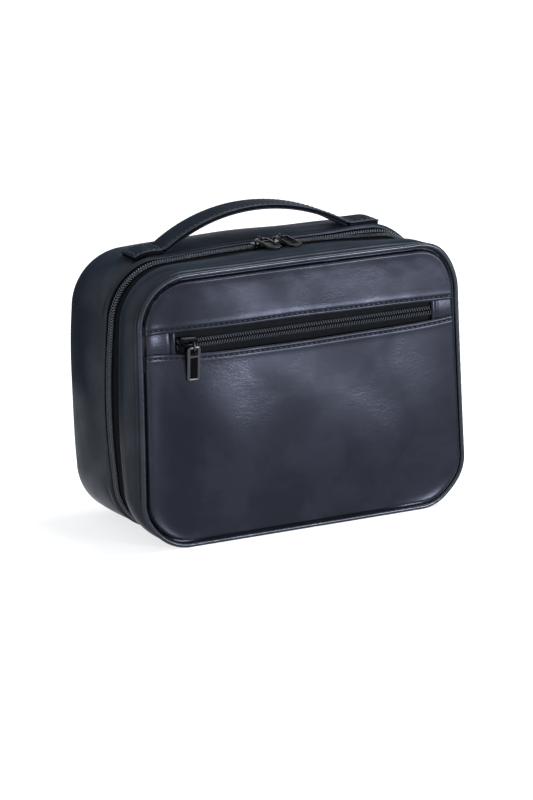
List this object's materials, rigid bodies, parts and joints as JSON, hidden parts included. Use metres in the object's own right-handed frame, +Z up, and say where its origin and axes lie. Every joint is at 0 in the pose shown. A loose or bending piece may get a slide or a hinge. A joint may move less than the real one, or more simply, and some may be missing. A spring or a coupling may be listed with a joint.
{
  "type": "toiletry bag",
  "caption": "Soft rectangular toiletry bag in black leather-look with rounded corners, a zipped lid with a zipped front pocket, corded piping and a stitched top handle.",
  "frame": {"origin": "on the flat base, half way across the bag, under the shell, 13.5 mm behind the main zip", "axes": "+X to the right across the bag seen from the front, +Y from the lid to the back, +Z up"},
  "size_m": [0.2406, 0.1228, 0.2121],
  "materials": {
    "black_leather": "smooth grained black leather-look, soft sheen",
    "piping_leather": "smooth black leather-look over a cord",
    "strap_leather": "stitched black leather-look",
    "zip_tape": "woven black tape",
    "zip_coil": "black nylon coil",
    "lining_cloth": "plain dark woven lining",
    "padding": "foam sheet",
    "stiff_board": "plain sheet",
    "elastic": "ribbed elastic",
    "gunmetal": "black lacquered metal, glossy"
  },
  "bodies": {
    "shell": {"back_panel": "black_leather", "shell_gusset": "black_leather", "handle_backing_left": "stiff_board", "handle_backing_right": "stiff_board", "shell_foam": "padding", "back_board": "stiff_board", "shell_lining": "lining_cloth", "shell_zip_tape": "zip_tape", "shell_zip_coil": "zip_coil", "hinge_strip": "lining_cloth", "handle_strap": "strap_leather", "handle_core": "padding", "handle_under_strap": "strap_leather", "handle_pad_left": "strap_leather", "handle_pad_right": "strap_leather"},
    "lid": {"lid_gusset": "black_leather", "lid_board": "stiff_board", "lid_lining": "lining_cloth", "pocket_lining": "lining_cloth", "inner_pocket": "lining_cloth", "inner_pocket_elastic": "elastic", "front_piping": "piping_leather", "front_panel_upper": "black_leather", "front_panel_lower": "black_leather", "pocket_tab_left": "black_leather", "pocket_tab_right": "black_leather", "pocket_tape_upper": "zip_tape", "pocket_tape_lower": "zip_tape", "pocket_coil_upper": "zip_coil", "pocket_coil_lower": "zip_coil", "lid_zip_tape": "zip_tape", "lid_zip_coil": "zip_coil"},
    "main_left_slider": {"main_left_slider": "gunmetal"},
    "main_left_puller": {"main_left_link": "gunmetal", "main_left_puller": "gunmetal"},
    "main_right_slider": {"main_right_slider": "gunmetal"},
    "main_right_puller": {"main_right_link": "gunmetal", "main_right_puller": "gunmetal"},
    "pocket_slider": {"pocket_slider": "gunmetal"},
    "pocket_puller": {"pocket_link": "gunmetal", "pocket_puller": "gunmetal"}
  },
  "joints": [
    {"name": "lid_hinge", "type": "hinge", "parent": "shell", "child": "lid", "pos_m": [0, -0.0135, 0], "axis": [1, 0, 0], "range_deg": [0, 170], "deforming": ["hinge_strip"]},
    {"name": "main_left_slide", "type": "slide", "parent": "shell", "child": "main_left_slider", "axis": [-1, 0, 0], "range_m": [0, 0.06855]},
    {"name": "main_left_swing", "type": "hinge", "parent": "main_left_slider", "child": "main_left_puller", "pos_m": [-0.0075, -0.0135, 0.1911], "axis": [-1, 0, 0], "range_deg": [0, 100]},
    {"name": "main_right_slide", "type": "slide", "parent": "shell", "child": "main_right_slider", "axis": [1, 0, 0], "range_m": [0, 0.06855]},
    {"name": "main_right_swing", "type": "hinge", "parent": "main_right_slider", "child": "main_right_puller", "pos_m": [0.0075, -0.0135, 0.1911], "axis": [-1, 0, 0], "range_deg": [0, 100]},
    {"name": "pocket_slide", "type": "slide", "parent": "lid", "child": "pocket_slider", "axis": [1, 0, 0], "range_m": [0, 0.1736]},
    {"name": "pocket_swing", "type": "hinge", "parent": "pocket_slider", "child": "pocket_puller", "pos_m": [-0.0816, -0.063, 0.1375], "axis": [-1, 0, 0], "range_deg": [0, 165]}
  ]
}
